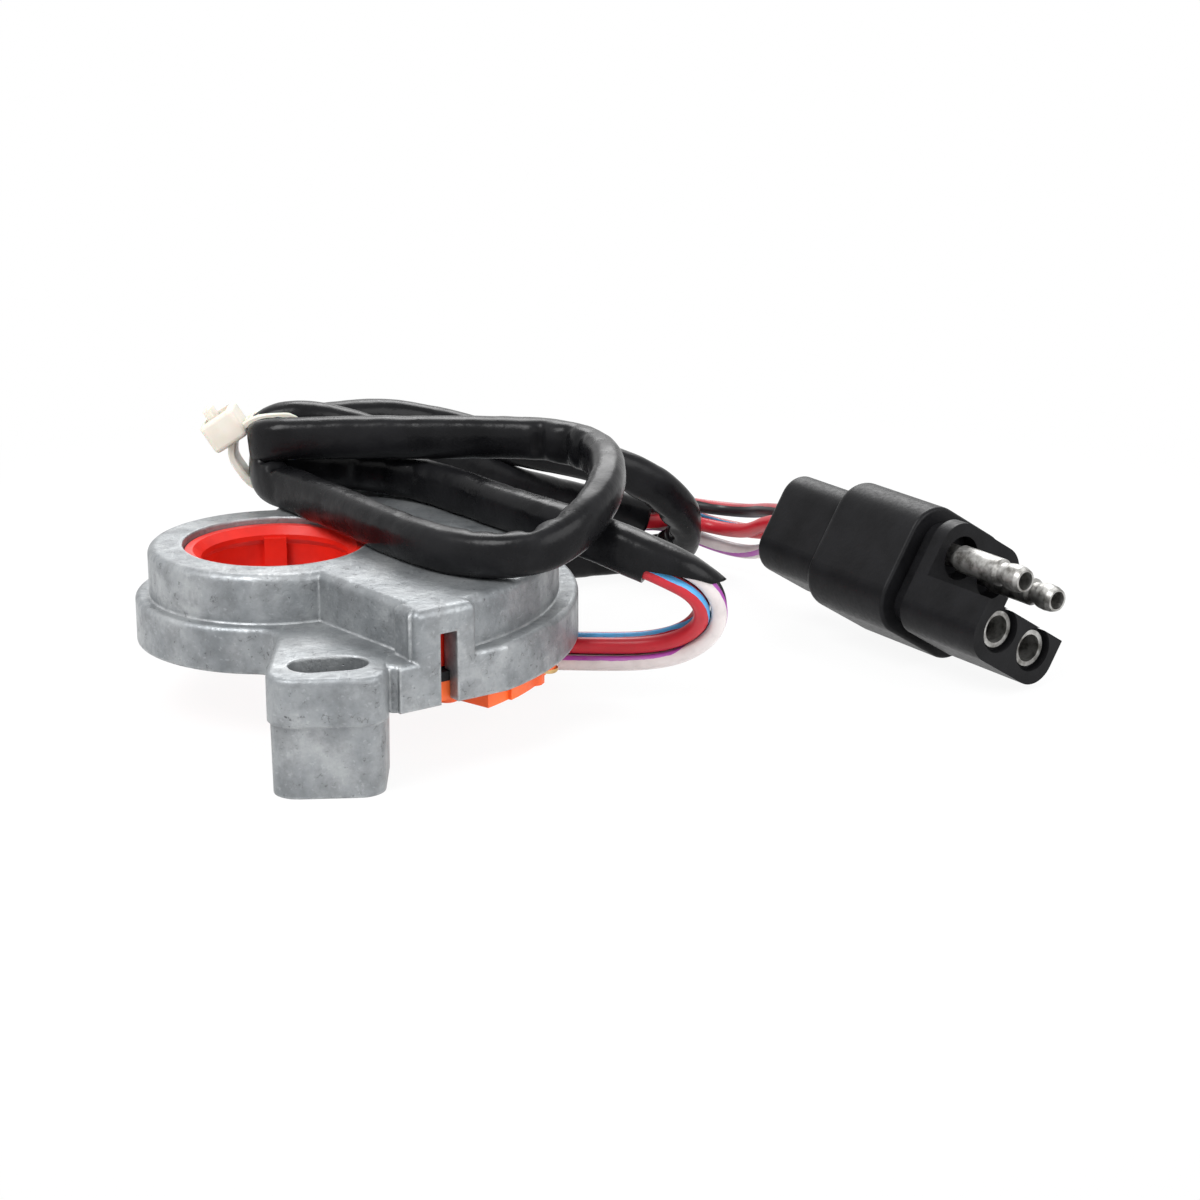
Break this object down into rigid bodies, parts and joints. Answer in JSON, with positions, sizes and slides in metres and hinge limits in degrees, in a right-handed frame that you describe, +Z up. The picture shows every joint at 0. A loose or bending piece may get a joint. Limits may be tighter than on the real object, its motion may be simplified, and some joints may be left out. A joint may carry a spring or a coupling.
{
  "type": "neutral safety switch",
  "caption": "Gearbox neutral safety switch: cast metal housing with a turning keyed ring, coiled tied lead and bullet plug.",
  "frame": {"origin": "on the axis of the rotor's bore, in the plane of the housing's lower rim", "axes": "+Z up along the bore's axis, +X from the hub across the fan, -Y towards the front ear"},
  "size_m": [0.1496, 0.126, 0.0419],
  "materials": {
    "cast_metal": "as cast, worn",
    "red_plastic": "moulded",
    "orange_plastic": "moulded",
    "seal_rubber": "matt",
    "contact_brass": "stamped",
    "spring_steel": "drawn",
    "plug_rubber": "matt, soft sheen",
    "terminal_metal": "tinned, dull",
    "sleeve_vinyl": "glossy, creased",
    "tie_nylon": "natural nylon",
    "wire_red": "insulation",
    "wire_white": "insulation",
    "wire_black": "insulation"
  },
  "bodies": {
    "switch_body": {"housing": "cast_metal", "base_plate": "orange_plastic", "plate_gasket": "seal_rubber", "plate_rivets": "contact_brass", "terminal_rivets": "contact_brass", "start_feed_strip": "contact_brass", "start_switched_strip": "contact_brass", "reverse_feed_strip": "contact_brass", "reverse_switched_strip": "contact_brass", "plug_body": "plug_rubber", "plug_pin_front": "terminal_metal", "plug_pin_rear": "terminal_metal", "plug_socket_front": "terminal_metal", "plug_socket_rear": "terminal_metal", "tied_folds": "sleeve_vinyl", "cable_tie": "tie_nylon", "red_lead_a": "wire_red", "red_lead_b": "wire_red", "white_lead": "wire_white", "black_lead": "wire_black", "sleeve_entry": "sleeve_vinyl", "sleeve_far_loop": "sleeve_vinyl", "sleeve_near_loop": "sleeve_vinyl", "sleeve_exit": "sleeve_vinyl", "red_tail_a": "wire_red", "red_tail_b": "wire_red", "white_tail": "wire_white", "black_tail": "wire_black"},
    "rotor_body": {"rotor": "red_plastic", "contact_bridge": "contact_brass", "bridge_springs": "spring_steel", "rotor_seal_upper": "seal_rubber", "rotor_seal_lower": "seal_rubber"}
  },
  "joints": [
    {"name": "rotor_turn", "type": "hinge", "parent": "switch_body", "child": "rotor_body", "pos_m": [0, 0, 0.007], "axis": [0, 0, 1], "range_deg": [-3, 57]}
  ]
}
